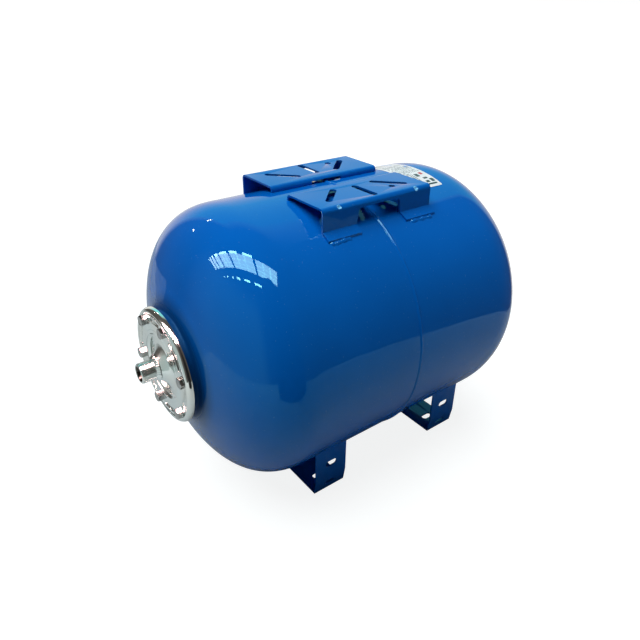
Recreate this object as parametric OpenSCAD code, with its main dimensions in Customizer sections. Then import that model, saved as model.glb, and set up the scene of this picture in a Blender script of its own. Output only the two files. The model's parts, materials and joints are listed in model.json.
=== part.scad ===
// Horizontal expansion vessel with a replaceable bladder, a pump platform and two feet.
// Sizes are in millimetres. The origin lies on the floor at the centre of the four foot slots.
// +X runs along the tank towards the air valve, the water port points to -X, and +Z is up.

/* [Tank] */
// Outside diameter of the tank
tank_d = 370; // [360:1:380]
// Length of the straight part from the girth seam to each head
straight_half = 151; // [140:1:165]
// Depth of each domed head
head_depth = 103.5; // [96:0.5:108]
// Roundness of the heads, where 2 is an ellipse
head_power = 2.4; // [2.2:0.1:2.6]
// Thickness of the shell's sheet
wall = 1.5; // [1.2:0.1:2]
// Height of the tank's axis above the floor
axis_h = 232; // [226:1:240]

/* [Water port] */
// Outside diameter of the zinc-plated flange
flange_d = 152; // [150:0.5:154]
// Pitch circle of the six flange bolts
bolt_pcd = 125; // [124:0.5:126]
// Angle of the first bolt from +Y
bolt_phase = 50; // [0:1:59]
// Outside diameter of the G 3/4 nipple's thread
nipple_d = 26.44; // [26.4:0.02:26.6]
// Bore of the nipple
nipple_bore = 19; // [16:0.5:20]
// Distance of the nipple's end from the girth seam
nipple_end = 300; // [296:1:304]
// Opening in the tank that the bladder goes in through
port_d = 96; // [94:0.5:98]

/* [Pump platform] */
// Length of each top bracket along the tank
bracket_len = 177; // [165:1:190]
// Width of each top bracket
bracket_w = 73.5; // [70:0.5:76]
// Clear gap between the two top brackets
bracket_gap = 34; // [28:1:40]
// Height of the platform above the tank's axis
platform_z = 192; // [190:0.5:196]
// Thickness of the bracket and foot sheet
sheet = 2.5; // [2:0.25:3]
// Width of the platform's slots
slot_w = 9; // [7:0.5:10]

/* [Feet] */
// Length of each foot along the tank
foot_len = 54; // [48:1:60]
// Width of each foot across the tank
foot_span = 222; // [214:1:230]
// Distance of the front foot's centre from the girth seam
foot_front = 83; // [70:1:95]
// Distance of the rear foot's centre from the girth seam
foot_rear = 152; // [140:1:155]
// Distance between the two rows of floor slots
floor_slot_span = 160; // [140:2:170]

/* [Air valve] */
// Outside diameter of the valve cover
cover_d = 35.2; // [34.6:0.1:37]
// Length of the valve cover
cover_len = 32.2; // [32:0.1:36]
// Outside diameter of the valve stem, as on a tyre valve
stem_d = 7.75; // [7.65:0.05:7.8]

/* [Hidden] */

tank_r = tank_d / 2;
seam_x = (foot_front - foot_rear) / 2;
weld_fit = 0.1;          // gap left between a bracket's edge and the tank
bead_out = 1.8;          // distance of a bead's middle from the edge it welds
paint_blue = "#0a5ea8";
zinc = "#c9ccc8";

// Water port, as distances from the girth seam
seat_x = 263.4;          // front of the tank's flat seat
seat_r = 70.5;           // edge of the flat seat
neck_r = 77;             // where the neck that carries the seat meets the head
ring_x = 270.5;          // front face of the flange
neck_d = 26;             // plain neck of the nipple, in the flange's hole
thread_x = 281.9;        // where the neck ends and the thread starts
flange_t = 2.5;
bolt_r = bolt_pcd / 2;
bolt_d = 8;
bolt_hole_d = 9;
bolt_af = 13;
bolt_head_h = 5.3;
bolt_tip_x = 246;
dent_r = 60;             // middle of the stamped arcs between the bolts
dent_w = 5;
dent_half_angle = 13;

// Bladder
bag_r = 130;
bag_neck_r = 46.3;
bag_mid_x = 25;          // where the bag is widest
bag_neck_x = 245;
bag_wall = 1.8;
lip_r = 57.5;
lip_turn_x = 265.5;      // where the neck's inside starts to widen into the lip

// Brackets and feet
bend_r = 6;
dart_r = 3.2;            // round dents that stiffen the outer bend
dart_in = 0.5;           // how far their middles lie inside the bend's corner
window_top = 184;        // top edge of the outer windows above the axis
window_top_half = 34;
window_bottom_half = 40;
inner_window_half = 25;
slot_len = 50;           // end to end, both kinds of slanted slot
cross_slot_len = 46;
slot_mid_x = 47.5;
slot_mid_y = 53;
tab_out = 102;           // where the welded tabs end, measured from the tank's middle plane
foot_tab_out = 120;
foot_slot_l = 20;
foot_slot_w = 10;
side_slot_z = -183;
bend_slot_z = -219.5;
bend_z = -208;           // where a foot's side starts to slant in
bend_in = 4;             // how far it slants in

// Air valve, as distances from the girth seam
boss_r = 15;
boss_bore_r = 8;
boss_x0 = 248;
boss_x1 = 258;
hex_x0 = boss_x1 + 1.2;
hex_x1 = hex_x0 + 4.3;
stem_x1 = hex_x1 + 14;
core_bore_r = 2.7;
air_bore_r = 1.6;
shoulder_x = 260.5;      // step in the stem's bore that the spring rests on
seal_x = shoulder_x + 3.6;
core_x0 = seal_x + 1.3;
core_x1 = 275;
pin_r = 0.85;
pin_tip_x = stem_x1 - 0.4;
cap_r = 5.6;
cap_x0 = 265;
cap_x1 = 281.4;
cover_x0 = 256.3;
cover_x1 = cover_x0 + cover_len;
cover_fit = 0.08;

// Points of an arc
function arc(cx, cy, r, a0, a1, n) =
    [for (i = [0:n]) let (a = a0 + (a1 - a0) * i / n) [cx + r * cos(a), cy + r * sin(a)]];

// Distance of a head's surface from the girth seam, at a radius from the axis
function head_x(radius, big_r, depth) =
    straight_half + depth * pow(1 - pow(radius / big_r, head_power), 1 / head_power);

// Outline of a head from its edge to an end radius
function head_pts(big_r, depth, end_r, n) =
    let (last = acos(pow(end_r / big_r, head_power / 2)))
    [for (i = [0:n]) let (t = last * i / n)
        [big_r * pow(cos(t), 2 / head_power), straight_half + depth * pow(sin(t), 2 / head_power)]];

// Drawn neck that rises from the head to the flat seat
function step_pts(r0, x0, r1, x1, n) =
    [for (i = [1:n]) let (u = i / n) [r0 + (r1 - r0) * u, x0 + (x1 - x0) * (1 - cos(180 * u)) / 2]];

function flip(list) = [for (i = [len(list) - 1:-1:0]) list[i]];

// Moves a sub-part from the tank's own frame, with the seam and the axis at 0, to the floor frame
module in_tank() {
    translate([seam_x, 0, axis_h]) children();
}

// Turns an outline of radius and distance about the tank's axis
module turned() {
    rotate([0, 90, 0]) rotate_extrude($fn = 96) children();
}

// The same for the port's end of the tank, where distances run towards -X
module turned_front() {
    mirror([1, 0, 0]) turned() children();
}

// Extrudes an outline of Y and Z along the tank, centred on x
module along_x(x, length) {
    translate([x, 0, 0]) rotate([90, 0, 90]) linear_extrude(length, center = true) children();
}

// A ring about the tank's axis
module ring(x0, x1, r0, r1) {
    turned() translate([r0, x0]) square([r1 - r0, x1 - x0]);
}

// Repeats at the six flange bolts, with +Y pointing outwards
module at_bolts() {
    for (k = [0:5]) rotate([bolt_phase + 60 * k, 0, 0]) translate([0, bolt_r, 0]) children();
}

// A slot along X, cut through along Z
module slot(length, width, depth) {
    for (s = [-1, 1])
        translate([s * (length - width) / 2, 0, 0]) cylinder(h = depth, d = width, center = true, $fn = 32);
    cube([length - width, width, depth], center = true);
}

// The space that the tank takes up, with the gap left for the welds
module tank_space(length = 420) {
    along_x(0, length) circle(tank_r + weld_fit, $fn = 480);
}

// A band of sheet that lies on the tank between two distances from the middle plane
module tab(x, length, y0, y1, top) {
    along_x(x, length) intersection() {
        difference() {
            circle(tank_r + weld_fit + sheet, $fn = 480);
            circle(tank_r + weld_fit, $fn = 480);
        }
        translate([y0, top ? 100 : -200]) square([y1 - y0, 100]);
    }
}

// Weld bead along X on the tank's surface, at a distance from the middle plane
module bead(x, length, y, r, top) {
    z = (top ? 1 : -1) * sqrt(pow(tank_r + 0.4, 2) - y * y);
    difference() {
        translate([x, y, z]) rotate([0, 90, 0]) cylinder(h = length, r = r, center = true, $fn = 64);
        tank_space();
    }
}

// ---- Tank ----

module front_shell() color(paint_blue) in_tank() difference() {
    turned_front() polygon(concat(
        [[tank_r, 0]],
        head_pts(tank_r, head_depth, neck_r, 20),
        step_pts(neck_r, head_x(neck_r, tank_r, head_depth), seat_r, seat_x, 8),
        [[port_d / 2, seat_x], [port_d / 2, seat_x - wall]],
        flip(step_pts(neck_r - wall, head_x(neck_r - wall, tank_r - wall, head_depth - wall),
            seat_r - wall, seat_x - wall, 8)),
        flip(head_pts(tank_r - wall, head_depth - wall, neck_r - wall, 20)),
        [[tank_r - wall, 0]]));
    at_bolts() translate([-seat_x, 0, 0]) rotate([0, 90, 0])
        cylinder(h = 10, d = bolt_hole_d, center = true, $fn = 32);
}

module rear_shell() color(paint_blue) in_tank() turned() polygon(concat(
    [[tank_r, 0]],
    head_pts(tank_r, head_depth, boss_r + 0.05, 24),
    flip(head_pts(tank_r - wall, head_depth - wall, boss_r + 0.05, 24)),
    [[tank_r - wall, 0]]));

// Low bead over the butt joint of the two shells
module girth_weld() color(paint_blue) in_tank() turned()
    polygon(concat([[tank_r, 4.5], [tank_r, -4.5]], arc(tank_r - 7.5, 0, 8.75, -30, 30, 8)));

// Ring behind the seat that the flange bolts screw into
module neck_ring() color("#4a4d50") in_tank() difference() {
    ring(-(seat_x - wall - 0.1), -(seat_x - wall - 8.1), port_d / 2 + 2, seat_r - wall - 0.8);
    at_bolts() translate([-seat_x, 0, 0]) rotate([0, 90, 0])
        cylinder(h = 40, d = bolt_d + 0.2, center = true, $fn = 32);
}

// ---- Water port ----

module flange_plate() color(zinc) in_tank() difference() {
    turned_front() polygon(concat(
        [[neck_d / 2 + 0.08, 278], [16, 278], [33, 267.5], [41, 267], [45.5, ring_x],
            [69, ring_x], [70, ring_x - 0.9], [71, ring_x]],
        arc(flange_d / 2 - 4, ring_x - 3, 4, 90, 0, 8),
        [[flange_d / 2, seat_x + 0.1], [flange_d / 2 - flange_t, seat_x + 0.1]],
        arc(flange_d / 2 - 4, ring_x - 3.5, 1.5, 0, 90, 4),
        [[70.5, ring_x - 3], [69.5, ring_x - flange_t], [46.5, ring_x - flange_t],
            [42, 264.5], [32, 265], [15, 275.5], [neck_d / 2 + 0.08, 275.5]]));
    at_bolts() translate([-ring_x, 0, 0]) rotate([0, 90, 0])
        cylinder(h = 12, d = bolt_hole_d, center = true, $fn = 32);
    for (k = [0:5]) flange_dent(bolt_phase + 30 + 60 * k);
}

// Arc stamped into the flange's face between two bolts
module flange_dent(angle) {
    rotate([angle - dent_half_angle, 0, 0]) translate([-ring_x - 0.8, 0, 0]) rotate([90, 0, 90])
        rotate_extrude(angle = 2 * dent_half_angle, $fn = 96)
            translate([dent_r - dent_w / 2, 0]) square([dent_w, 2]);
}

module water_nipple() color(zinc) in_tank() turned_front() polygon([
    [nipple_bore / 2, 273], [neck_d / 2, 273], [neck_d / 2, thread_x],
    [nipple_d / 2, thread_x], [nipple_d / 2, nipple_end - 1.5],
    [nipple_d / 2 - 1.5, nipple_end], [nipple_bore / 2 + 1, nipple_end],
    [nipple_bore / 2, nipple_end - 1]]);

module nipple_weld() color(zinc) in_tank() turned_front() polygon([
    [neck_d / 2 + 0.02, 278.05], [16.4, 278.05], [15.2, 279], [14.2, 280.2],
    [neck_d / 2 + 0.02, thread_x - 0.1]]);

module flange_bolts() color(zinc) in_tank() at_bolts() {
    translate([-ring_x - bolt_head_h, 0, 0]) intersection() {
        rotate([0, 90, 0]) cylinder(h = bolt_head_h, r = bolt_af / 2 / cos(30), $fn = 6);
        rotate([0, 90, 0]) cylinder(h = bolt_head_h, r1 = 6.4, r2 = 6.4 + bolt_head_h * 1.7, $fn = 48);
    }
    translate([-ring_x, 0, 0]) rotate([0, 90, 0]) cylinder(h = ring_x - bolt_tip_x, d = bolt_d, $fn = 32);
}

// Rubber bag with its lip clamped between the flange and the tank's seat
module bladder() color("#26282a") in_tank() turned_front() polygon(concat(
    [[lip_r, seat_x + 0.1], [bag_neck_r, seat_x + 0.1]],
    bag_pts(bag_r, bag_neck_r, 18),
    flip(bag_pts(bag_r - bag_wall, bag_neck_r - bag_wall, 18)),
    [[bag_neck_r - bag_wall, lip_turn_x], [bag_neck_r + 0.6, ring_x - flange_t - 0.1],
        [lip_r, ring_x - flange_t - 0.1]]));

// Half outline of the bag from its neck to its far end
function bag_pts(r, neck, n) =
    let (first = asin(neck / r), half = (bag_neck_x - bag_mid_x) / cos(first) - (bag_r - r))
    [for (i = [0:n]) let (t = first + (180 - first) * i / n)
        [i == n ? 0 : r * sin(t), i == 0 ? bag_neck_x : bag_mid_x + half * cos(t)]];

// ---- Air valve ----

module valve_boss() color("#4a4d50") in_tank() ring(boss_x0, boss_x1, boss_bore_r, boss_r);

module boss_weld() color(paint_blue) in_tank() turned() polygon([
    [boss_r + 0.04, 254.6], [17.2, 254.6], [16.6, 255.2], [15.8, 255.8], [boss_r + 0.04, 256]]);

module valve_gasket() color("#26282a") in_tank() ring(boss_x1, hex_x0, boss_bore_r + 0.05, 11.5);

module valve_body() color("#c8a24a") in_tank() difference() {
    union() {
        ring(boss_x0 - 1, hex_x0, 0, boss_bore_r - 0.1);
        translate([hex_x0, 0, 0]) rotate([0, 90, 0])
            cylinder(h = hex_x1 - hex_x0, r = 19 / 2 / cos(30), $fn = 6);
        ring(hex_x1, stem_x1, 0, stem_d / 2);
    }
    ring(shoulder_x, stem_x1 + 1, 0, core_bore_r);
    ring(boss_x0 - 2, shoulder_x + 1, 0, air_bore_r);
}

module valve_core_body() color("#c8a24a") in_tank()
    ring(core_x0, core_x1, pin_r + 0.07, core_bore_r - 0.05);

module valve_core_pin() color("#c8a24a") in_tank() {
    ring(shoulder_x + 1, pin_tip_x, 0, pin_r);
    ring(core_x1 + 1.4, pin_tip_x, 0, pin_r + 0.5);
}

module valve_core_seal() color("#26282a") in_tank() ring(seal_x, core_x0 - 0.05, pin_r, 2.2);

// Wire spring under the core's seal
module valve_core_spring() color("#b8babc") in_tank() {
    turns = 4;
    steps = 12;
    wire = 0.22;
    coil_r = 1.75;
    x0 = shoulder_x + 0.3;
    pitch = (seal_x - 0.3 - x0) / turns;
    rings = [for (i = [0:turns * steps]) let (a = 360 * i / steps)
        for (k = [0:5]) let (b = 60 * k, r = coil_r + wire * cos(b))
            [x0 + pitch * i / steps + wire * sin(b), r * cos(a), r * sin(a)]];
    last = turns * steps * 6;
    polyhedron(rings, concat(
        [[for (k = [0:5]) k]],
        [for (i = [0:turns * steps - 1]) for (k = [0:5])
            [i * 6 + k, (i + 1) * 6 + k, (i + 1) * 6 + (k + 1) % 6, i * 6 + (k + 1) % 6]],
        [[for (k = [5:-1:0]) last + k]]));
}

module valve_cap() color("#26282a") in_tank() difference() {
    turned() polygon([[0, 278.9], [0, cap_x1], [cap_r - 0.8, cap_x1], [cap_r, cap_x1 - 0.8],
        [cap_r, cap_x0], [stem_d / 2 + 0.075, cap_x0], [stem_d / 2 + 0.075, 278.9]]);
    for (k = [0:15]) rotate([k * 22.5, 0, 0]) translate([cap_x0 + 2, cap_r + 0.3, 0])
        rotate([0, 90, 0]) cylinder(h = 12, r = 0.6, $fn = 16);
}

module valve_cap_seal() color("#3a3c3e") in_tank() ring(stem_x1 + 0.2, 278.8, 0, 3.8);

// Cup that slides over the boss and keeps dirt off the valve
module valve_cover() color("#1c1d1f") in_tank() {
    turned() polygon(concat(
        [[boss_r + cover_fit, cover_x0], [cover_d / 2, cover_x0]],
        arc(cover_d / 2 - 3, cover_x1 - 3, 3, 0, 90, 6),
        [[0, cover_x1], [0, cover_x1 - 2], [boss_r - 2, cover_x1 - 2],
            [boss_r + cover_fit, cover_x1 - 4]]));
    for (k = [0:23]) rotate([k * 15, 0, 0]) translate([cover_x0 + 3, cover_d / 2 - 0.1, 0])
        rotate([0, 90, 0]) cylinder(h = cover_len - 8, r = 0.6, $fn = 16);
}

// ---- Pump platform ----

// Outline with two round upper corners
module round_top(w, h, r) {
    square([w, h - r]);
    translate([r, 0]) square([w - 2 * r, h]);
    for (y = [r, w - r]) translate([y, h - r]) circle(r, $fn = 48);
}

// Trapezium that clears the seam under a bracket's web, as an outline of X and Z
module window_shape(half_top, half_bottom, top, corner) {
    polygon(concat(
        arc(half_top - corner, top - corner, corner, 0, 90, 6),
        arc(-half_top + corner, top - corner, corner, 90, 180, 6),
        [[-half_bottom, 140], [half_bottom, 140]]));
}

// The bracket on the +Y side
module bracket() {
    inner = bracket_gap / 2;
    outer = inner + bracket_w;
    low = 140;
    difference() {
        union() {
            difference() {
                along_x(0, bracket_len) translate([inner, low]) difference() {
                    round_top(bracket_w, platform_z - low, bend_r);
                    translate([sheet, -1])
                        round_top(bracket_w - 2 * sheet, platform_z - low - sheet + 1, bend_r - sheet);
                }
                tank_space();
            }
            tab(0, bracket_len, outer - sheet, tab_out, true);
        }
        translate([0, tab_out + 20, 0]) rotate([90, 0, 0]) linear_extrude(60)
            window_shape(window_top_half, window_bottom_half, window_top, 6);
        translate([0, inner + 10, 0]) rotate([90, 0, 0]) linear_extrude(20)
            window_shape(inner_window_half, inner_window_half + 1, platform_z - 3.5, 2);
        for (s = [-1, 1]) translate([s * slot_mid_x, slot_mid_y, platform_z]) rotate([0, 0, s * 45])
            slot(slot_len, slot_w, 12);
        translate([0, inner + 43, platform_z]) rotate([0, 0, 90]) slot(cross_slot_len, slot_w, 12);
        translate([40.5, 67.5, platform_z]) cylinder(h = 12, d = 9, center = true, $fn = 32);
        for (s = [-1, 1]) translate([s * 63, outer - dart_in, platform_z - dart_in]) sphere(r = dart_r, $fn = 32);
    }
}

module top_bracket_left() color(paint_blue) in_tank() bracket();

module top_bracket_right() color(paint_blue) in_tank() mirror([0, 1, 0]) bracket();

// Beads along the bracket tabs and the short inner webs
module bracket_welds() color(paint_blue) in_tank() for (m = [0, 1]) mirror([0, m, 0]) {
    for (s = [-1, 1]) {
        bead(s * 66, 36, tab_out + bead_out, 1.7, true);
        bead(s * 58, 40, bracket_gap / 2 - bead_out, 1.6, true);
    }
}

// ---- Feet ----

// A foot bent from one strip, centred on its own x
module foot(x) {
    half = foot_span / 2;
    difference() {
        union() {
            difference() {
                along_x(x, foot_len) difference() {
                    polygon([[-half, -140], [-half, bend_z], [-half + bend_in, -axis_h],
                        [half - bend_in, -axis_h], [half, bend_z], [half, -140]]);
                    polygon([[-half + sheet, -139], [-half + sheet, bend_z + 0.2],
                        [-half + bend_in + sheet - 0.4, -axis_h + sheet],
                        [half - bend_in - sheet + 0.4, -axis_h + sheet],
                        [half - sheet, bend_z + 0.2], [half - sheet, -139]]);
                }
                tank_space();
            }
            for (m = [0, 1]) mirror([0, m, 0]) tab(x, foot_len, half - sheet, foot_tab_out, false);
        }
        translate([x, 0, side_slot_z]) rotate([90, 0, 0]) slot(foot_slot_l, foot_slot_w, foot_span + 20);
        translate([x, 0, bend_slot_z]) rotate([90, 0, 0]) slot(18, 4.5, foot_span + 20);
        for (s = [-1, 1]) translate([x, s * floor_slot_span / 2, -axis_h])
            slot(foot_slot_l, foot_slot_w, 12);
        for (s = [-1, 1]) translate([x - foot_len / 2, s * half, -152.5]) cube([30, 12, 2.4], center = true);
    }
}

module front_foot() color(paint_blue) in_tank() foot(-foot_front);

module rear_foot() color(paint_blue) in_tank() foot(foot_rear);

module foot_welds() color(paint_blue) in_tank() for (m = [0, 1]) mirror([0, m, 0])
    for (x = [-foot_front, foot_rear - 8]) bead(x + 6, foot_len - 22, foot_tab_out + bead_out, 1.7, false);

// ---- Label ----

module rating_label() color("#e9eaec") in_tank() along_x(121.5, 47) intersection() {
    difference() {
        circle(tank_r + 0.35, $fn = 96);
        circle(tank_r + 0.05, $fn = 96);
    }
    translate([-61.5, 100]) square([123, 100]);
}

front_shell();
rear_shell();
girth_weld();
neck_ring();
flange_plate();
water_nipple();
nipple_weld();
flange_bolts();
bladder();
valve_boss();
boss_weld();
valve_gasket();
valve_body();
valve_core_body();
valve_core_pin();
valve_core_seal();
valve_core_spring();
valve_cap();
valve_cap_seal();
valve_cover();
top_bracket_right();
top_bracket_left();
front_foot();
rear_foot();
bracket_welds();
foot_welds();
rating_label();
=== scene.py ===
import json
import math
import random

import bmesh
import bpy
from mathutils import Matrix, Vector, noise

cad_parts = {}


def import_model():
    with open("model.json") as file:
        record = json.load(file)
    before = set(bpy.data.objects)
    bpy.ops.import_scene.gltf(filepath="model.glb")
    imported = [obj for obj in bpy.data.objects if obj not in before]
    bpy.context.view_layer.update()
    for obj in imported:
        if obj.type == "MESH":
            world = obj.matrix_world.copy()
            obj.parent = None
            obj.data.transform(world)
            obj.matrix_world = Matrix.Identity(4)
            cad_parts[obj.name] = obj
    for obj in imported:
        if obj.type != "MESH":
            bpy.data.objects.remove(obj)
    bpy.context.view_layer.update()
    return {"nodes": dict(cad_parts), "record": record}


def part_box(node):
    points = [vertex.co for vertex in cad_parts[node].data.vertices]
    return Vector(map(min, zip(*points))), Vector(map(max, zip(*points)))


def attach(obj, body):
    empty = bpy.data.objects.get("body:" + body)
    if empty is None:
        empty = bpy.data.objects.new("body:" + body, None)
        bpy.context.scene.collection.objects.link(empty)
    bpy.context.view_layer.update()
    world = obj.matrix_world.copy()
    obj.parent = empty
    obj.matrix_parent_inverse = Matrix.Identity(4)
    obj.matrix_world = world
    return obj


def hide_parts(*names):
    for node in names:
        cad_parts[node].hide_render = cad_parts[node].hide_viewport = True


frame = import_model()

NODES = frame["nodes"]
MM = 0.001
TAU = 2 * math.pi
random.seed(11)

# -------------------- the tank's frame and sizes

MOUNTS = {mount["name"]: mount for mount in frame["record"]["mounts"]}
SEAM_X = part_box("rear_shell")[0].x
AXIS_Z = MOUNTS["water_nipple"]["pos_m"][2]
# Height of the CAD's girth weld above the tank, in mm
CAD_BEAD = 1.25
TANK_R = (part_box("girth_weld")[1].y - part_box("girth_weld")[0].y) / 2 / MM - CAD_BEAD

# Lengths in the rest of this section are in mm; depths run from the girth seam to each end
STRAIGHT = 151
HEAD_DEPTH = 103.5
HEAD_POWER = 2.4
TANK_STEPS = 288
WALL = 1.5
SEAT_DEPTH = 263.4
NECK_R = 69
RISE_R = 106
RISE = 4.5
PORT_R = 48
RING_DEPTH = 270.5
FLANGE_R = 76
BOLT_COUNT = 6
BOLT_CIRCLE_R = 62.5
BOLT_PHASE = math.radians(50)
BOLT_HOLE_R = 4.5
THREAD_DEPTH = 281.9
NIPPLE_END = 300
NIPPLE_R = MOUNTS["water_nipple"]["dims"]["r_mm"]
NIPPLE_BORE_R = 9.5
G34_PITCH = 25.4 / 14
BOSS_R = 15
HEX_DEPTH = 259.2
STEM_R = 3.875
STEM_START = 263.5
STEM_END = 277.5
VALVE_PITCH = 0.794
HEX_DISH = 0.25
CAP_R = 5.6
COVER_R = 17.6
COVER_DEPTH = 256.3
COVER_END = 288.5
# Width of a bracket's top, and how far the dents in its outer bend are from the girth seam
BRACKET_W = 73.5
DART_X = 63
# Weld beads of the brackets and the feet: start and end along X, distance to each side, and size
BRACKET_BEADS = [(-88, -52), (43, 86)]
BRACKET_BEAD_Y = 102.5
BRACKET_BEAD_SIZE = 4.4
FOOT_BEADS = [(-108, -58), (127, 177)]
FOOT_BEAD_Y = 120.5
FOOT_BEAD_SIZE = 4.0


def point(depth, radius, angle, port_end=False):
    """Place in the CAD frame, in metres, of a point of the tank; its angle is measured from +Y."""
    side = -1 if port_end else 1
    return (SEAM_X + side * depth * MM, radius * MM * math.cos(angle),
            AXIS_Z + radius * MM * math.sin(angle))


def head_depth_at(radius, big_r=TANK_R, depth=HEAD_DEPTH):
    """Depth of a domed head's surface at a radius."""
    return STRAIGHT + depth * (1 - (radius / big_r) ** HEAD_POWER) ** (1 / HEAD_POWER)


# -------------------- mesh tools

def finish_mesh(name, mesh, sharp=35):
    """Object from a mesh, smooth except at edges sharper than an angle in degrees."""
    mesh.shade_smooth()
    mesh.set_sharp_from_angle(angle=math.radians(sharp))
    obj = bpy.data.objects.new(name, mesh)
    bpy.context.scene.collection.objects.link(obj)
    return obj


def mesh_from(name, verts, faces, sharp=35):
    """Object from lists of points and faces, with doubles joined and faces turned outwards."""
    mesh = bpy.data.meshes.new(name)
    mesh.from_pydata(verts, [], faces)
    bm = bmesh.new()
    bm.from_mesh(mesh)
    bmesh.ops.remove_doubles(bm, verts=bm.verts, dist=1e-6)
    bmesh.ops.dissolve_degenerate(bm, edges=bm.edges, dist=1e-7)
    bmesh.ops.recalc_face_normals(bm, faces=bm.faces)
    bm.to_mesh(mesh)
    bm.free()
    return finish_mesh(name, mesh, sharp)


def grid_faces(rows, columns, wrap_rows=True, wrap_columns=True):
    """Faces of a grid of points numbered row by row."""
    faces = []
    for i in range(rows if wrap_rows else rows - 1):
        for k in range(columns if wrap_columns else columns - 1):
            j, m = (i + 1) % rows, (k + 1) % columns
            faces.append((i * columns + k, i * columns + m, j * columns + m, j * columns + k))
    return faces


def turned(name, outline, steps=192, port_end=False, shape=None, sharp=35):
    """A closed outline of (radius, depth), turned about the tank's axis.

    shape(radius, depth, angle) may move its points."""
    verts = []
    for i in range(steps):
        angle = TAU * i / steps
        for radius, depth in outline:
            moved = shape(radius, depth, angle) if shape else (radius, depth)
            verts.append(point(moved[1], moved[0], angle, port_end))
    return mesh_from(name, verts, grid_faces(steps, len(outline)), sharp)


def curve_points(start, end, count, function):
    """Points of function(t) for count even steps of t from start to end."""
    return [function(start + (end - start) * i / count) for i in range(count + 1)]


def arc(centre_r, centre_d, radius, a0, a1, count=8):
    """Points (radius, depth) of an arc between two angles in degrees."""
    return curve_points(math.radians(a0), math.radians(a1), count,
                        lambda a: (centre_r + radius * math.cos(a), centre_d + radius * math.sin(a)))


def rounded(points, radius, count=4):
    """The closed outline with its corners rounded, each by at most a third of its shorter side."""
    result = []
    for i, corner in enumerate(points):
        corner = Vector(corner)
        before, after = Vector(points[i - 1]), Vector(points[(i + 1) % len(points)])
        reach = min(radius, (before - corner).length / 3, (after - corner).length / 3)
        first = corner + (before - corner).normalized() * reach
        last = corner + (after - corner).normalized() * reach
        for k in range(count + 1):
            t = k / count
            result.append(tuple((1 - t) ** 2 * first + 2 * t * (1 - t) * corner + t * t * last))
    return result


def divided(points, step):
    """The closed outline with points added so that none are further apart than step."""
    result = []
    for i, start in enumerate(points):
        end = points[(i + 1) % len(points)]
        count = max(1, math.ceil(math.dist(start, end) / step))
        result += [tuple(Vector(start).lerp(Vector(end), k / count)) for k in range(count)]
    return result


def smooth_step(low, high, value):
    """0 below low, 1 above high, and a smooth rise between them."""
    t = max(0.0, min(1.0, (value - low) / (high - low)))
    return t * t * (3 - 2 * t)


def angle_between(a, b):
    """Difference of two angles, from 0 to half a turn."""
    return abs((a - b + math.pi) % TAU - math.pi)


def joined(name, objects):
    """One object from several."""
    bm = bmesh.new()
    for obj in objects:
        bm.from_mesh(obj.data)
        bpy.data.objects.remove(obj)
    mesh = bpy.data.meshes.new(name)
    bm.to_mesh(mesh)
    bm.free()
    return finish_mesh(name, mesh)


def softened(node):
    """Copy of a CAD node with its edges rounded, as pressed and painted sheet has them."""
    width = 0.45
    mesh = NODES[node].data.copy()
    bm = bmesh.new()
    bm.from_mesh(mesh)
    bmesh.ops.remove_doubles(bm, verts=bm.verts, dist=2e-5)
    bm.to_mesh(mesh)
    bm.free()
    obj = finish_mesh(node + "_look", mesh, 40)
    bevel = obj.modifiers.new("round_edges", "BEVEL")
    bevel.width = width * MM
    bevel.segments = 3
    bevel.limit_method = "ANGLE"
    bevel.angle_limit = math.radians(35)
    bevel.harden_normals = True
    return obj


def place(obj, body, slot, material, *nodes):
    """Puts a finished piece on its body, in place of CAD nodes, with its material."""
    obj.data.materials.clear()
    obj.data.materials.append(material)
    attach(obj, body)
    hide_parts(*nodes)


# -------------------- material tools

def add_node(tree, kind, links=(), **settings):
    """A new shader node; links pairs its input names with outputs or values."""
    made = tree.nodes.new("ShaderNode" + kind)
    for name, value in settings.items():
        setattr(made, name, value)
    for socket, value in dict(links).items():
        if isinstance(value, bpy.types.NodeSocket):
            tree.links.new(value, made.inputs[socket])
        else:
            made.inputs[socket].default_value = value
    return made


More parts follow.
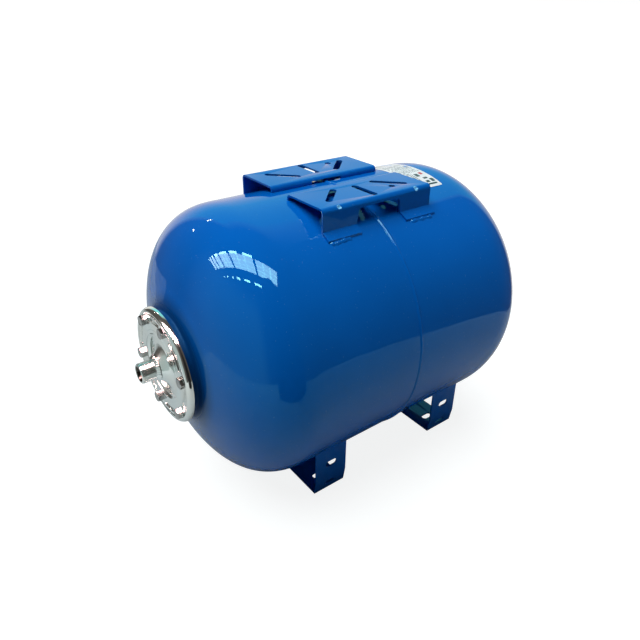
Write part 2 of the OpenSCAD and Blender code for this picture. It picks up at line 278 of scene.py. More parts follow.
class Finish:
    """One procedural material: a Principled shader and the nodes that feed it."""

    def __init__(self, name, **values):
        self.material = bpy.data.materials.new(name)
        self.material.use_nodes = True
        self.tree = self.material.node_tree
        self.shader = self.tree.nodes["Principled BSDF"]
        for socket, value in values.items():
            self.shader.inputs[socket.replace("_", " ")].default_value = value
        self.place = self.tree.nodes.new("ShaderNodeTexCoord").outputs["Object"]

    def node(self, kind, links=(), **settings):
        """A new node of this material."""
        return add_node(self.tree, kind, links, **settings)

    def noise(self, scale, detail=3.0, roughness=0.5, stretch=(1, 1, 1)):
        """Noise with about scale features to the metre, in the object's own coordinates."""
        mapped = self.node("Mapping", {"Vector": self.place, "Scale": stretch}).outputs[0]
        return self.node("TexNoise", {"Vector": mapped, "Scale": scale, "Detail": detail,
                                      "Roughness": roughness}).outputs["Fac"]

    def ramp(self, factor, low, high, start=0.0, end=1.0):
        """Maps low..high of a value to start..end."""
        return self.node("MapRange", {"Value": factor, "From Min": low, "From Max": high,
                                      "To Min": start, "To Max": end}).outputs[0]

    def math(self, operation, a, b=0.0, c=0.0):
        """Result of a Math node."""
        return self.node("Math", {0: a, 1: b, 2: c}, operation=operation).outputs[0]

    def vector(self, operation, a, b=(0, 0, 0), output=0):
        """Result of a Vector Math node."""
        return self.node("VectorMath", {0: a, 1: b}, operation=operation).outputs[output]

    def mix(self, factor, a, b):
        """Blend of two colours."""
        return self.node("Mix", {0: factor, 6: a, 7: b}, data_type="RGBA").outputs[2]

    def bump(self, height, distance, under=None):
        """Normal from a height; distance is the height of a full step, in mm."""
        links = {"Height": height, "Distance": distance * MM}
        if under is not None:
            links["Normal"] = under
        return self.node("Bump", links).outputs[0]

    def use(self, **sockets):
        """Links outputs to the shader's sockets, and returns the finished material."""
        for socket, output in sockets.items():
            self.tree.links.new(output, self.shader.inputs[socket.replace("_", " ")])
        return self.material


def rgb(red, green, blue):
    """An opaque colour."""
    return (red, green, blue, 1.0)


def painted_dart_highlights(f, colour):
    """The colour with a painted highlight, a pale ragged spot, in the pinched dents on the brackets'
    outer bends.
    """
    low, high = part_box("top_bracket_left")
    below_bend = 1.5 * MM
    dent = (DART_X * MM, low.y + BRACKET_W * MM - below_bend, high.z - below_bend)
    from_seam = f.vector("ADD", f.place, (-SEAM_X, 0, 0))
    away = f.vector("DISTANCE", f.vector("ABSOLUTE", from_seam), dent, "Value")
    ragged = f.math("MULTIPLY_ADD", f.noise(330, 2), 5.0 * MM, away)
    # pale blue painted highlight where the dents would catch the light
    return f.mix(f.ramp(ragged, 6.1 * MM, 4.9 * MM, 0, 0.85), colour, rgb(0.22, 0.62, 0.95))


def blue_paint(name, shine=0.5, dart_highlights=False):
    """Glossy blue powder coat with faint orange peel, cloudy patches, smudges and specks of dust.

    It is dull in the crevice between the neck and the flange, where painted shade darkens its
    colour; with dart highlights on, it also has painted highlights in the dents of the brackets' bends."""
    f = Finish(name, IOR=1.5, Specular_Tint=rgb(0.25, 0.95, 1.0))
    cloud = f.noise(9, 2)
    colour = f.mix(f.ramp(cloud, 0.3, 0.7), rgb(0.0004, 0.103, 0.445), rgb(0.0006, 0.115, 0.492))
    speck = f.ramp(f.noise(420, 1, 0.4), 0.735, 0.77)
    colour = f.mix(f.math("MULTIPLY", speck, 0.3), colour, rgb(0.10, 0.25, 0.52))
    # painted highlights in the dents of the brackets' bends
    if dart_highlights:
        colour = painted_dart_highlights(f, colour)
    along = f.node("SeparateXYZ", {0: f.place}).outputs[0]
    # painted shade: the colour darkens towards the flange, in the crevice by the neck where the flange
    # shades the head
    painted_crevice_shade = f.ramp(along, SEAM_X - 246 * MM, SEAM_X - 253 * MM)
    colour = f.mix(f.math("MULTIPLY", painted_crevice_shade, 0.72), colour, rgb(0.0, 0.008, 0.03))
    smudge = f.ramp(f.noise(14, 6, 0.62, (1, 1, 0.45)), 0.54, 0.72)
    normal = f.bump(f.noise(22, 1, 0.4), 0.10)
    normal = f.bump(f.noise(230, 2, 0.45), 0.010, under=normal)
    wall = f.ramp(along, SEAM_X - 249.5 * MM, SEAM_X - 254 * MM)
    roughness = f.math("MAXIMUM", f.ramp(smudge, 0, 1, 0.012, 0.06), f.math("MULTIPLY", wall, 0.45))
    gloss = f.ramp(wall, 0, 1, shine, 0.15)
    return f.use(Base_Color=colour, Roughness=roughness, Specular_IOR_Level=gloss, Normal=normal)


def zinc_plate():
    """Zinc on pressed steel: satin face, brighter rim and nipple, painted shade in the grooves, corners
    and the nipple's bore, patchy passivation, and rings that the press tool left."""
    f = Finish("zinc_plate", Metallic=1.0)
    cloud = f.noise(45, 4)
    tint = f.mix(f.ramp(f.noise(28, 2), 0.35, 0.65), rgb(0.87, 0.95, 0.93), rgb(0.91, 0.92, 0.86))
    colour = f.mix(f.ramp(f.noise(900, 2), 0.62, 0.75, 0, 0.4), tint, rgb(0.52, 0.52, 0.51))
    flat = f.vector("MULTIPLY", f.vector("ADD", f.place, (0, 0, -AXIS_Z)), (0, 1, 1))
    radius = f.vector("LENGTH", flat, output="Value")
    wobble = f.math("MULTIPLY_ADD", f.noise(60, 2), 1.2 * MM, radius)
    marks = f.node("TexNoise", {"W": wobble, "Scale": 2600.0, "Detail": 2.0},
                   noise_dimensions="1D").outputs["Fac"]
    face = f.math("MULTIPLY", f.ramp(radius, 16 * MM, 19 * MM), f.ramp(radius, 70 * MM, 68 * MM))
    # painted shade: darker where the surface is hollow, in grooves, threads and corners
    painted_groove_shade = f.ramp(f.node("NewGeometry").outputs["Pointiness"], 0.485, 0.43, 0, 0.8)
    colour = f.mix(painted_groove_shade, colour, rgb(0.16, 0.15, 0.14))
    # painted shade inside the nipple's bore
    bore = f.ramp(radius, (NIPPLE_BORE_R + 1) * MM, (NIPPLE_BORE_R + 0.4) * MM)
    colour = f.mix(bore, colour, rgb(0.10, 0.09, 0.08))
    satin = f.ramp(cloud, 0.3, 0.7, 0.13, 0.23)
    bright = f.ramp(cloud, 0.3, 0.7, 0.06, 0.12)
    roughness = f.node("Mix", {0: face, 2: bright, 3: satin}).outputs[0]
    normal = f.bump(f.noise(120, 3), 0.03)
    normal = f.bump(marks, 0.003, under=normal)
    return f.use(Base_Color=colour, Roughness=roughness, Normal=normal)


def bolt_zinc():
    """Zinc-plated bolts, a little darker than the flange, with worn edges where a spanner went."""
    f = Finish("bolt_zinc", Metallic=1.0)
    colour = f.mix(f.ramp(f.noise(160, 3), 0.35, 0.65), rgb(0.34, 0.34, 0.33), rgb(0.50, 0.50, 0.48))
    wear = f.node("NewGeometry").outputs["Pointiness"]
    colour = f.mix(f.ramp(wear, 0.52, 0.60), colour, rgb(0.86, 0.86, 0.84))
    normal = f.bump(f.noise(700, 3), 0.012)
    return f.use(Base_Color=colour, Roughness=f.ramp(f.noise(300, 3), 0.3, 0.7, 0.07, 0.16),
                 Normal=normal)


def raw_steel():
    """Turned steel with a thin brownish oxide."""
    f = Finish("raw_steel", Metallic=1.0)
    colour = f.mix(f.ramp(f.noise(70, 5), 0.4, 0.68), rgb(0.30, 0.30, 0.31), rgb(0.25, 0.19, 0.14))
    lines = f.noise(900, 2, 0.5, (1, 0.04, 0.04))
    return f.use(Base_Color=colour, Roughness=f.ramp(lines, 0.3, 0.7, 0.28, 0.5),
                 Normal=f.bump(lines, 0.02))


def black_rubber():
    """Matt moulded rubber with a dusty bloom."""
    f = Finish("black_rubber", Specular_IOR_Level=0.35)
    bloom = f.ramp(f.noise(40, 5, 0.6), 0.42, 0.75)
    colour = f.mix(bloom, rgb(0.012, 0.012, 0.013), rgb(0.045, 0.045, 0.047))
    normal = f.bump(f.noise(1500, 3), 0.02)
    return f.use(Base_Color=colour, Roughness=f.ramp(bloom, 0, 1, 0.5, 0.75), Normal=normal)


def valve_brass():
    """Turned brass with tool lines and a slight tarnish."""
    f = Finish("valve_brass", Metallic=1.0)
    colour = f.mix(f.ramp(f.noise(200, 4), 0.4, 0.7), rgb(0.78, 0.58, 0.26), rgb(0.52, 0.36, 0.15))
    lines = f.noise(2500, 1, 0.4, (1, 0.03, 0.03))
    return f.use(Base_Color=colour, Roughness=f.ramp(lines, 0.3, 0.7, 0.14, 0.34),
                 Normal=f.bump(lines, 0.01))


def spring_wire():
    """Drawn steel wire."""
    f = Finish("spring_wire", Metallic=1.0)
    grain = f.noise(4000, 2)
    colour = f.mix(grain, rgb(0.42, 0.42, 0.44), rgb(0.62, 0.62, 0.63))
    return f.use(Base_Color=colour, Roughness=f.ramp(grain, 0.3, 0.7, 0.2, 0.38),
                 Normal=f.bump(grain, 0.004))


def black_plastic(name, shade, grain_size, peak):
    """Moulded black plastic with a fine eroded texture and paler scuffs on its edges."""
    f = Finish(name, Specular_IOR_Level=0.45)
    grain = f.noise(grain_size, 3, 0.6)
    scuff = f.ramp(f.node("NewGeometry").outputs["Pointiness"], 0.53, 0.62, 0, 0.6)
    colour = f.mix(f.ramp(f.noise(90, 3), 0.35, 0.7), rgb(shade, shade, shade * 1.05),
                   rgb(shade * 1.7, shade * 1.7, shade * 1.8))
    colour = f.mix(scuff, colour, rgb(0.09, 0.09, 0.095))
    return f.use(Base_Color=colour, Roughness=f.ramp(grain, 0.3, 0.7, 0.36, 0.55),
                 Normal=f.bump(grain, peak))


def label_film():
    """Satin white film with generic bars, blocks, a rule and rows of noise as its print."""
    f = Finish("label_film", Coat_Weight=0.4, Coat_Roughness=0.12)
    split = f.node("SeparateXYZ", {0: f.place}).outputs
    low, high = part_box("rating_label")
    along = f.ramp(split[0], low.x, high.x)
    across = f.ramp(split[1], low.y, high.y)

    def band(value, start, end):
        return f.math("MULTIPLY", f.math("GREATER_THAN", value, start), f.math("LESS_THAN", value, end))

    def block(x0, x1, y0, y1):
        return f.math("MULTIPLY", band(along, x0, x1), band(across, y0, y1))

    line_count, line_gap = 13.0, 0.45
    words = f.ramp(f.noise(430, 1, 0.5, (1, 0.6, 0.01)), 0.44, 0.48)
    rows = f.math("GREATER_THAN", f.math("FRACT", f.math("MULTIPLY", along, line_count)), line_gap)
    print_mask = f.math("MULTIPLY", words, rows)
    colour = f.mix(f.ramp(f.noise(60, 3), 0.3, 0.7), rgb(0.70, 0.71, 0.73), rgb(0.80, 0.81, 0.82))
    for x0, x1, y0, y1, ink in LABEL_BLOCKS:
        colour = f.mix(block(x0, x1, y0, y1), colour, ink)
    dark_ink, blue_ink = rgb(0.15, 0.15, 0.17), rgb(0.10, 0.25, 0.60)
    for patch in LABEL_TEXTS:
        colour = f.mix(f.math("MULTIPLY", print_mask, block(*patch)), colour, dark_ink)
    colour = f.mix(f.math("MULTIPLY", print_mask, block(*BLUE_TEXT)), colour, blue_ink)
    return f.use(Base_Color=colour, Roughness=f.ramp(f.noise(300, 3), 0.3, 0.7, 0.32, 0.45),
                 Normal=f.bump(f.noise(90, 2), 0.03))


# Shares of the label along the tank and across it: start, end, start, end, and ink
LABEL_BLOCKS = [
    (0.50, 0.90, 0.040, 0.066, rgb(0.004, 0.004, 0.006)),
    (0.58, 0.72, 0.085, 0.125, rgb(0.004, 0.004, 0.006)),
    (0.80, 0.93, 0.085, 0.150, rgb(0.004, 0.004, 0.006)),
    (0.64, 0.80, 0.160, 0.195, rgb(0.02, 0.02, 0.025)),
    (0.74, 0.86, 0.262, 0.318, rgb(0.50, 0.02, 0.03)),
    (0.52, 0.66, 0.230, 0.300, rgb(0.03, 0.03, 0.035)),
    (0.82, 0.93, 0.530, 0.600, rgb(0.05, 0.20, 0.62)),
    (0.12, 0.88, 0.455, 0.462, rgb(0.20, 0.21, 0.23)),
]
# The same shares for patches of noise rows, dark and blue
LABEL_TEXTS = [
    (0.08, 0.50, 0.04, 0.44),
    (0.50, 0.92, 0.35, 0.44),
    (0.08, 0.92, 0.48, 0.70),
    (0.08, 0.56, 0.73, 0.96),
]
BLUE_TEXT = (0.60, 0.90, 0.74, 0.95)


# -------------------- the tank

def head_outline(big_r, depth, end_r, count):
    """Points of a domed head from its straight part to an end radius."""
    last = math.acos((end_r / big_r) ** (HEAD_POWER / 2))
    return curve_points(0, last, count, lambda t: (
        big_r * math.cos(t) ** (2 / HEAD_POWER), STRAIGHT + depth * math.sin(t) ** (2 / HEAD_POWER)))


def seat_curve(offset, count=26):
    """Concave rise from the head to the neck, then the neck's wall and the edge of the flat seat."""
    def risen(t):
        radius = RISE_R + (NECK_R + 2 - RISE_R) * t
        return radius, head_depth_at(radius) + RISE * t ** 2.2

    rise = curve_points(0, 1, count, risen)
    foot, foot_r, edge_r = rise[-1][1], 3, 2
    wall = arc(NECK_R + foot_r, foot + 2.4, foot_r, 250, 180, 6)
    wall += arc(NECK_R - edge_r, SEAT_DEPTH - edge_r, edge_r, 0, 90, 6)
    return [(radius - offset * 0.6, depth - offset) for radius, depth in rise[1:] + wall]


def around_noise(angle, scale, seed):
    """Smooth noise that closes on itself round a circle."""
    return noise.noise(Vector((seed, scale * math.cos(angle), scale * math.sin(angle))))


def dressed_sheet(radius, depth, angle):
    """Lets the rolled sheet sink a little beside the girth weld and swell by a few hundredths."""
    if radius < TANK_R - WALL - 0.01 and depth < STRAIGHT:
        return radius, depth
    deepest, reach = 0.28, 11
    uneven = 0.8 + 0.5 * around_noise(angle, 2.5, 3.1)
    sink = deepest * math.exp(-(depth / reach) ** 2) * uneven
    swell = 0.05 * around_noise(angle, 4.2, depth / 42) * smooth_step(RISE_R, RISE_R + 25, radius)
    return radius - max(0.0, sink) + swell, depth


def straight_part(radius, start, end, count):
    """Points of a cylinder's outline, without the last."""
    return curve_points(start, end, count, lambda d: (radius, d))[:-1]


def front_shell(material):
    """Port end of the tank, with the drawn seat and its six bolt holes."""
    inner = [(PORT_R, SEAT_DEPTH), (PORT_R, SEAT_DEPTH - WALL)] + seat_curve(WALL)[::-1]
    inner += head_outline(TANK_R - WALL, HEAD_DEPTH - WALL, RISE_R, 24)[::-1]
    inner += [(TANK_R - WALL, 0)]
    outer = straight_part(TANK_R, 0, STRAIGHT, 30) + head_outline(TANK_R, HEAD_DEPTH, RISE_R, 50)
    shell = turned("front_shell_look", outer + seat_curve(0) + inner, TANK_STEPS, True, dressed_sheet)
    cut_bolt_holes(shell, SEAT_DEPTH, 20)
    place(shell, "vessel", "blue_paint", material, "front_shell")


def bolt_angle(k):
    """Angle of one of the flange bolts."""
    return BOLT_PHASE + k * TAU / BOLT_COUNT


def cut_bolt_holes(obj, depth, length):
    """Cuts the holes of the six flange bolts through a piece."""
    bm = bmesh.new()
    for k in range(BOLT_COUNT):
        centre = point(depth, BOLT_CIRCLE_R, bolt_angle(k), True)
        where = Matrix.Translation(centre) @ Matrix.Rotation(TAU / 4, 4, "Y")
        bmesh.ops.create_cone(bm, segments=32, cap_ends=True, radius1=BOLT_HOLE_R * MM,
                              radius2=BOLT_HOLE_R * MM, depth=length * MM, matrix=where)
    mesh = bpy.data.meshes.new("cutter")
    bm.to_mesh(mesh)
    bm.free()
    cutter = bpy.data.objects.new("cutter", mesh)
    bpy.context.scene.collection.objects.link(cutter)
    cut = obj.modifiers.new("holes", "BOOLEAN")
    cut.object = cutter
    cut.operation = "DIFFERENCE"
    cut.solver = "EXACT"
    bpy.context.view_layer.update()
    result = bpy.data.meshes.new_from_object(obj.evaluated_get(bpy.context.evaluated_depsgraph_get()))
    obj.modifiers.clear()
    obj.data = result
    result.shade_smooth()
    result.set_sharp_from_angle(angle=math.radians(35))
    bpy.data.objects.remove(cutter)


def rear_shell(material):
    """Valve end of the tank."""
    hole_r = BOSS_R + 0.05
    inner = head_outline(TANK_R - WALL, HEAD_DEPTH - WALL, hole_r, 30)[::-1] + [(TANK_R - WALL, 0)]
    outer = straight_part(TANK_R, 0, STRAIGHT, 30) + head_outline(TANK_R, HEAD_DEPTH, hole_r, 90)
    shell = turned("rear_shell_look", outer + inner, TANK_STEPS, False, dressed_sheet)
    place(shell, "vessel", "blue_paint", material, "rear_shell")


def girth_weld(material):
    """Machine-welded bead with close, shallow ripples under the paint."""
    half_width, height, count, sunk = 2.8, 1.3, 20, 0.3

    def rippled(radius, depth, angle):
        if radius < TANK_R - 0.4:
            return radius, depth
        crown = 1 - (depth / half_width) ** 2
        ripple = 0.05 * math.sin(angle * 260 + 3.5 * depth * depth / 10) * crown
        drift = noise.noise(Vector((7 * math.cos(angle), 7 * math.sin(angle), 0.4)))
        return radius + ripple + 0.12 * drift * crown, depth + 0.35 * drift

    top = curve_points(-half_width, half_width, count, lambda d: (
        TANK_R - sunk + (height + sunk) * math.cos(math.pi / 2 * d / half_width) ** 0.9, d))
    outline = top + [(TANK_R - 0.6, half_width), (TANK_R - 0.6, -half_width)]
    bead = turned("girth_weld_look", outline, 720, False, rippled, 60)
    place(bead, "vessel", "blue_paint", material, "girth_weld")


def bead_path(x0, x1, y, top):
    """Path of a weld bead along X on the tank, as (x, angle) pairs that wander a little sideways."""
    side = 1 if y > 0 else -1
    step, wander = 0.7, 1.2
    count = max(8, int((x1 - x0) / step))
    result = []
    for i in range(count + 1):
        x = x0 + (x1 - x0) * i / count
        off = wander * noise.noise(Vector((x / 17, side * 5 + (3 if top else 9), 0.7)))
        height = math.sqrt(max(1.0, TANK_R ** 2 - (abs(y) + off) ** 2))
        result.append((x, math.atan2(height if top else -height, side * (abs(y) + off))))
    return result


def weld_bead(name, x0, x1, y, size, top):
    """Hand-laid weld bead along X on the tank, with lumps, ripples and tapered ends."""
    path = bead_path(x0, x1, y, top)
    around, sunk, spread = 14, 0.66, 1.15
    verts = []
    for i, (x, angle) in enumerate(path):
        ends = min(i, len(path) - 1 - i) / 6
        taper = math.sqrt(min(1.0, max(0.02, ends)))
        lump = 1 + 0.30 * noise.noise(Vector((x / 7, y / 10, 3.3))) + 0.04 * math.sin(x * 2.6)
        r = size * taper * lump
        for k in range(around):
            a = TAU * k / around
            radius = TANK_R - sunk * size + r * math.sin(a)
            verts.append(point(x, radius, angle + r * spread * math.cos(a) / TANK_R))
    faces = grid_faces(len(path), around, wrap_rows=False)
    faces.append(tuple(range(around)))
    faces.append(tuple(len(verts) - around + k for k in range(around)))
    return mesh_from(name, verts, faces, 70)


def sheet_welds(node, spans, half_width, size, top, material):
    """The beads along both sides of the brackets or feet, as one piece."""
    beads = []
    for x0, x1 in spans:
        for side in (-1, 1):
            beads.append(weld_bead(node + str(len(beads)), x0, x1, side * half_width, size, top))
    place(joined(node + "_look", beads), "vessel", "blue_paint", material, node)


# -------------------- the water port

def flange_shape(radius, depth, angle):
    """Stamped arcs between the bolts, low pads round them, and a faint unevenness of the pressing."""
    arc_r, arc_depth, pad_height = 60.5, 1.9, 0.3
    half_arc, arc_end = math.radians(17), math.radians(18.2)
    if depth < RING_DEPTH - 1.6 and radius > 46:
        return radius, depth
    turn = min(angle_between(angle, bolt_angle(k)) for k in range(BOLT_COUNT))
    from_bolt = math.hypot(radius - BOLT_CIRCLE_R, turn * radius)
    middle = TAU / BOLT_COUNT / 2 - turn
    stamped = 1 - smooth_step(half_arc, arc_end, middle)
    stamped *= 1 - smooth_step(2.3, 3.1, abs(radius - arc_r))
    pad = 1 - smooth_step(8.2, 9.4, from_bolt)
    lowered = (1 - pad) * smooth_step(47, 49, radius) * (1 - smooth_step(64.8, 66, radius))
    uneven = 0.07 * around_noise(angle, 9, radius / 9)
    return radius, depth - arc_depth * stamped - pad_height * lowered + uneven


def flange_plate(material):
    """Pressed zinc-plated disc with a rolled rim, a groove, a recess and a bell for the nipple."""
    hole_r, sheet, top, recess = 13.2, 2.5, 278, 267
    bell = curve_points(0, 1, 14, lambda t: (15.2 + 18.3 * t, recess + 0.2 + 10.8 * (1 - t) ** 2.1))
    face = rounded([(hole_r, top)] + bell + [(35.5, recess), (41, recess), (45, RING_DEPTH)], 1.6, 5)
    groove = rounded([(66.2, RING_DEPTH), (68.2, RING_DEPTH - 2.3), (69.6, RING_DEPTH - 0.3)], 0.7, 3)
    rim_width, rim_height = 5.5, 7.0
    rim = curve_points(math.radians(97), 0, 20, lambda a: (
        FLANGE_R - rim_width + rim_width * math.cos(a), SEAT_DEPTH + 0.5 + rim_height * math.sin(a)))
    rim += [(FLANGE_R, SEAT_DEPTH + 0.1)]
    back = [(FLANGE_R - 2.5, SEAT_DEPTH + 0.1), (FLANGE_R - 2.8, RING_DEPTH - 4.6),
            (71.5, RING_DEPTH - 3.2), (68.4, RING_DEPTH - 4.0), (65.5, RING_DEPTH - sheet),
            (46.5, RING_DEPTH - sheet), (42, recess - sheet), (32, recess - 2), (15, top - sheet),
            (hole_r, top - sheet)]
    outline = divided(face + groove + rim + rounded(back, 1.0, 3), 0.8)
    plate = turned("flange_plate_look", outline, 400, True, flange_shape, 50)
    cut_bolt_holes(plate, RING_DEPTH, 14)
    place(plate, "vessel", "zinc_plate", material, "flange_plate")


def threaded(name, r_top, start, end, pitch, height, back_outline, port_end, steps=96, chamfer=1.5):
    """Tube with a rounded thread outside, of a pitch and height, whose outline ends in back_outline."""
    side = -1 if port_end else 1
    rings = max(12, int((end - start) / pitch * 16))
    outline = curve_points(start, end, rings, lambda d: (r_top, d)) + back_outline

    def helix(radius, depth, angle):
        if radius < r_top - 1e-6 or depth < start - 1e-6:
            return radius, depth
        share = abs((side * depth / pitch - angle / TAU) % 1 - 0.5) * 2
        groove = height * smooth_step(0.12, 0.88, share) ** 0.8
        groove *= smooth_step(start, start + 0.9 * pitch, depth)
        cut = max(0.0, depth - (end - chamfer))
        return min(radius - groove, radius - cut), depth

    return turned(name, outline, steps, port_end, helix, 60)


def water_nipple(material):
    """Tube with a G 3/4 thread, a chamfered end and a bore."""
    plain_r, start, thread_height, steps = 13, 273, 1.3, 144
    back = [(NIPPLE_BORE_R + 1, NIPPLE_END), (NIPPLE_BORE_R, NIPPLE_END - 1), (NIPPLE_BORE_R, start),
            (plain_r, start), (plain_r, THREAD_DEPTH - 0.01)]
    tube = threaded("water_nipple_look", NIPPLE_R, THREAD_DEPTH, NIPPLE_END, G34_PITCH, thread_height,
                    back, True, steps)
    place(tube, "vessel", "zinc_plate", material, "water_nipple")


def nipple_weld(material):
    """Fillet weld between the cone and the nipple, with even ripples."""
    def rippled(radius, depth, angle):
        drift = noise.noise(Vector((4 * math.cos(angle), 4 * math.sin(angle), 8)))
        wave = 0.16 * math.sin(angle * 34) + 0.25 * drift
        return (radius, depth) if radius < 13.5 else (radius + wave, depth + wave * 0.6)

    outline = [(13.03, 277.9), (17.0, 277.9), (16.6, 278.5), (15.8, 279.3), (14.9, 280.2), (14.1, 281.0),
               (13.03, THREAD_DEPTH - 0.1)]
    bead = turned("nipple_weld_look", outline, 240, True, rippled, 60)
    place(bead, "vessel", "zinc_plate", material, "nipple_weld")


def hexagon_radius(half_flats, angle):
    """Radius of a hexagon at an angle from the middle of a flat."""
    side = TAU / 6
    return half_flats / math.cos((angle + side / 2) % side - side / 2)


def hexagon_head(half_flats, height, chamfer_r, turn, steps=96):
    """Points and faces of a chamfered hexagon head with a shallow dish, which stands on z 0."""
    verts = []
    levels = [("side", 0.0), ("side", 0.9), ("top", 1.0), ("top", 0.5), ("ring", 1.0), ("ring", 0.9),
              ("ring", 0.0)]
    for i in range(steps):
        angle = TAU * i / steps
        edge = hexagon_radius(half_flats, angle + turn)
        for kind, share in levels:
            if kind == "ring":
                radius, z = chamfer_r * share, height - (HEX_DISH if share < 0.95 else 0.0)
            else:
                inner = min(chamfer_r, edge)
                radius = edge if kind == "side" else inner + (edge - inner) * share
                z = height - max(0.0, radius - chamfer_r) * 0.6
                z *= share if kind == "side" else 1
            verts.append((radius * math.cos(angle), radius * math.sin(angle), z))
    return verts, grid_faces(steps, len(levels), wrap_columns=False)


def flange_bolts(material):
    """Six M8 bolts with chamfered hexagon heads, each turned as the spanner left it."""
    half_flats, head, chamfer_r, thread_r, length = 6.5, 5.3, 6.1, 4.0, 24.5
    shank_outline = [(6.0, 0.0), (thread_r, 0.0), (thread_r, 0.8 - length), (thread_r - 0.8, -length),
                     (0.0, -length)]
    steps = 32
    bolts = []
    for k in range(BOLT_COUNT):
        verts, faces = hexagon_head(half_flats, head, chamfer_r, random.uniform(0, math.pi / 3))
        shank = len(verts)
        for i in range(steps):
            a = TAU * i / steps
            for radius, z in shank_outline:
                verts.append((radius * math.cos(a), radius * math.sin(a), z))
        shank_faces = grid_faces(steps, len(shank_outline), wrap_columns=False)
        faces += [tuple(shank + v for v in face) for face in shank_faces]
        centre = Vector(point(RING_DEPTH, BOLT_CIRCLE_R, bolt_angle(k), True))
        turn = Matrix.Rotation(-TAU / 4, 3, "Y")
        placed = [centre + turn @ (Vector(v) * MM) for v in verts]
        bolts.append(mesh_from("bolt" + str(k), placed, faces, 28))
    place(joined("flange_bolts_look", bolts), "vessel", "bolt_zinc", material, "flange_bolts")


def bladder(material):
    """Rubber bag with soft lengthwise folds, its lip clamped under the flange."""
    bag_r, neck_r, neck_depth, middle = 130, 46.3, 245, 25
    thickness, lip_r = 1.8, 57.5
    lip_back, lip_front = SEAT_DEPTH + 0.1, RING_DEPTH - 2.6

    def bag(r, neck, count=48):
        first = math.asin(neck / r)
        half = (neck_depth - middle) / math.cos(first) - (bag_r - r)
        return curve_points(first, math.pi, count, lambda t: (
            r * math.sin(t), neck_depth if t == first else middle + half * math.cos(t)))

    def folded(radius, depth, angle):
        depth_share = smooth_step(neck_depth, middle + 60, depth)
        return radius * (1 - 0.035 * depth_share * (0.5 + 0.5 * math.cos(6 * angle))), depth

    outline = ([(lip_r, lip_back), (neck_r, lip_back)] + bag(bag_r, neck_r)
               + bag(bag_r - thickness, neck_r - thickness)[::-1]
               + [(neck_r - thickness, lip_front), (lip_r, lip_front)])
    bag_piece = turned("bladder_look", outline, 120, True, folded, 40)
    place(bag_piece, "vessel", "black_rubber", material, "bladder")


# -------------------- the air valve

def valve_cover(material):
    """Moulded cup with 24 grip ribs and a softly domed end."""
    ribs = 24

    def ribbed(radius, depth, angle):
        if radius < COVER_R - 1:
            return radius, depth
        near = abs((angle * ribs / TAU) % 1 - 0.5) * 2
        along = smooth_step(COVER_DEPTH + 2, COVER_DEPTH + 4, depth) * (
            1 - smooth_step(COVER_END - 7, COVER_END - 4, depth))
        return radius + 0.5 * along * smooth_step(0.72, 0.95, near), depth

    outline = ([(BOSS_R + 0.1, COVER_DEPTH), (COVER_R - 0.4, COVER_DEPTH), (COVER_R, COVER_DEPTH + 0.5)]
               + arc(COVER_R - 3, COVER_END - 3, 3, 0, 90, 12)
               + [(9, COVER_END), (8.2, COVER_END - 0.35), (0, COVER_END - 0.35), (0, COVER_END - 2),
                  (BOSS_R - 2, COVER_END - 2), (BOSS_R + 0.1, COVER_END - 4)])
    piece = turned("valve_cover_look", divided(outline, 1.5), 480, False, ribbed)
    place(piece, "cover", "cover_plastic", material, "valve_cover")


def valve_cap(material):
    """Screw cap with 16 flutes for the fingers."""
    start, end, inner, ceiling = 265, 281.4, 3.95, 278.9

    def fluted(radius, depth, angle):
        if radius < CAP_R - 0.9 or depth > end - 0.1:
            return radius, depth
        along = smooth_step(start + 1.2, start + 2.4, depth) * (1 - smooth_step(end - 2, end - 1, depth))
        return radius - 0.4 * along * (0.5 + 0.5 * math.cos(16 * angle)), depth

    outline = [(0, ceiling), (0, end), (CAP_R - 1.2, end), (CAP_R - 0.4, end - 0.3), (CAP_R, end - 1),
               (CAP_R, start), (inner, start), (inner, ceiling)]
    piece = turned("valve_cap_look", divided(outline, 0.8), 256, False, fluted)
    place(piece, "cap", "black_plastic", material, "valve_cap")


def valve_body(material):
    """Brass valve: chamfered hexagon, threaded stem and stepped bore."""
    bore_r, air_r, tube_r, shoulder, tube_depth = 2.7, 1.6, 7.9, 260.5, 247
    steps = 96
    bore = [(bore_r, STEM_END), (bore_r, shoulder), (air_r, shoulder), (air_r, tube_depth),
            (tube_r, tube_depth), (tube_r, HEX_DEPTH), (STEM_R, HEX_DEPTH), (STEM_R, STEM_START - 0.01)]
    stem = threaded("stem", STEM_R, STEM_START, STEM_END, VALVE_PITCH, 0.45, bore, False, steps, 0.8)
    height = 4.3
    head = hexagon_head(9.5, height, 8.9, 0.3, steps)[0]
    outer = [v for v in head if math.hypot(v[0], v[1]) > STEM_R]
    columns = len(outer) // steps
    rows = []
    for i in range(steps):
        x, y = STEM_R * math.cos(TAU * i / steps), STEM_R * math.sin(TAU * i / steps)
        rows += [(x, y, 0.0)] + outer[i * columns:(i + 1) * columns] + [(x, y, height - HEX_DISH)]
    start = Vector((SEAM_X + HEX_DEPTH * MM, 0, AXIS_Z))
    turn = Matrix.Rotation(TAU / 4, 3, "Y")
    placed = [start + turn @ (Vector(v) * MM) for v in rows]
    hexagon = mesh_from("hexagon", placed, grid_faces(steps, columns + 2), 28)
    whole = joined("valve_body_look", [stem, hexagon])
    place(whole, "vessel", "valve_brass", material, "valve_body")


# -------------------- the label

